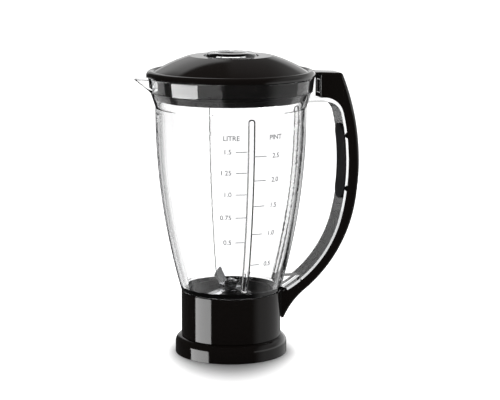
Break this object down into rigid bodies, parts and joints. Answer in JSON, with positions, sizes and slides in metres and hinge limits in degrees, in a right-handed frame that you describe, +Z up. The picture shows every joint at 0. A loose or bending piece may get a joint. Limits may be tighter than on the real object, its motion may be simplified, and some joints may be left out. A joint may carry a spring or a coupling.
{
  "type": "blender jar",
  "caption": "Clear ribbed blender jar with a domed black push-in lid, clear filler cap, black-covered strap handle and a clamped black base that carries spinning steel blades.",
  "frame": {"origin": "on the jar's axis, in the plane of the foot, at the mouth of the locating bore", "axes": "+Z up along the jar's axis, +X from the axis to the handle, so the spout is at -X"},
  "size_m": [0.2145, 0.1564, 0.2823],
  "materials": {
    "clear_plastic": "polished clear moulding",
    "gloss_black": "high gloss moulding",
    "grip_rubber": "matte soft touch",
    "seal_rubber": "matte",
    "blade_steel": "brushed, ground edges",
    "turned_steel": "turned",
    "bush_bronze": "sintered",
    "coupling_plastic": "moulded"
  },
  "bodies": {
    "jar_body": {"jar": "clear_plastic", "handle_cover": "gloss_black", "handle_screws": "turned_steel", "grip_pad": "grip_rubber", "base_collar": "gloss_black", "base_ring": "gloss_black", "jar_seal": "seal_rubber", "blade_housing": "gloss_black", "upper_bush": "bush_bronze", "lower_bush": "bush_bronze", "shaft_seal": "seal_rubber"},
    "rotor": {"drive_shaft": "turned_steel", "lower_blade": "blade_steel", "blade_spacer": "turned_steel", "upper_blade": "blade_steel", "blade_nut": "turned_steel", "thrust_washer": "turned_steel", "circlip": "turned_steel", "drive_coupling": "coupling_plastic"},
    "lid_body": {"lid": "gloss_black", "lid_seal": "seal_rubber"},
    "cap_body": {"filler_cap": "clear_plastic"}
  },
  "joints": [
    {"name": "blade_spin", "type": "hinge", "parent": "jar_body", "child": "rotor", "pos_m": [0, 0, 0.045], "axis": [0, 0, 1], "continuous": true},
    {"name": "lid_lift", "type": "slide", "parent": "jar_body", "child": "lid_body", "axis": [0, 0, 1], "range_m": [0, 0.06]},
    {"name": "cap_lift", "type": "slide", "parent": "lid_body", "child": "cap_body", "axis": [0, 0, 1], "range_m": [0, 0.035]}
  ]
}
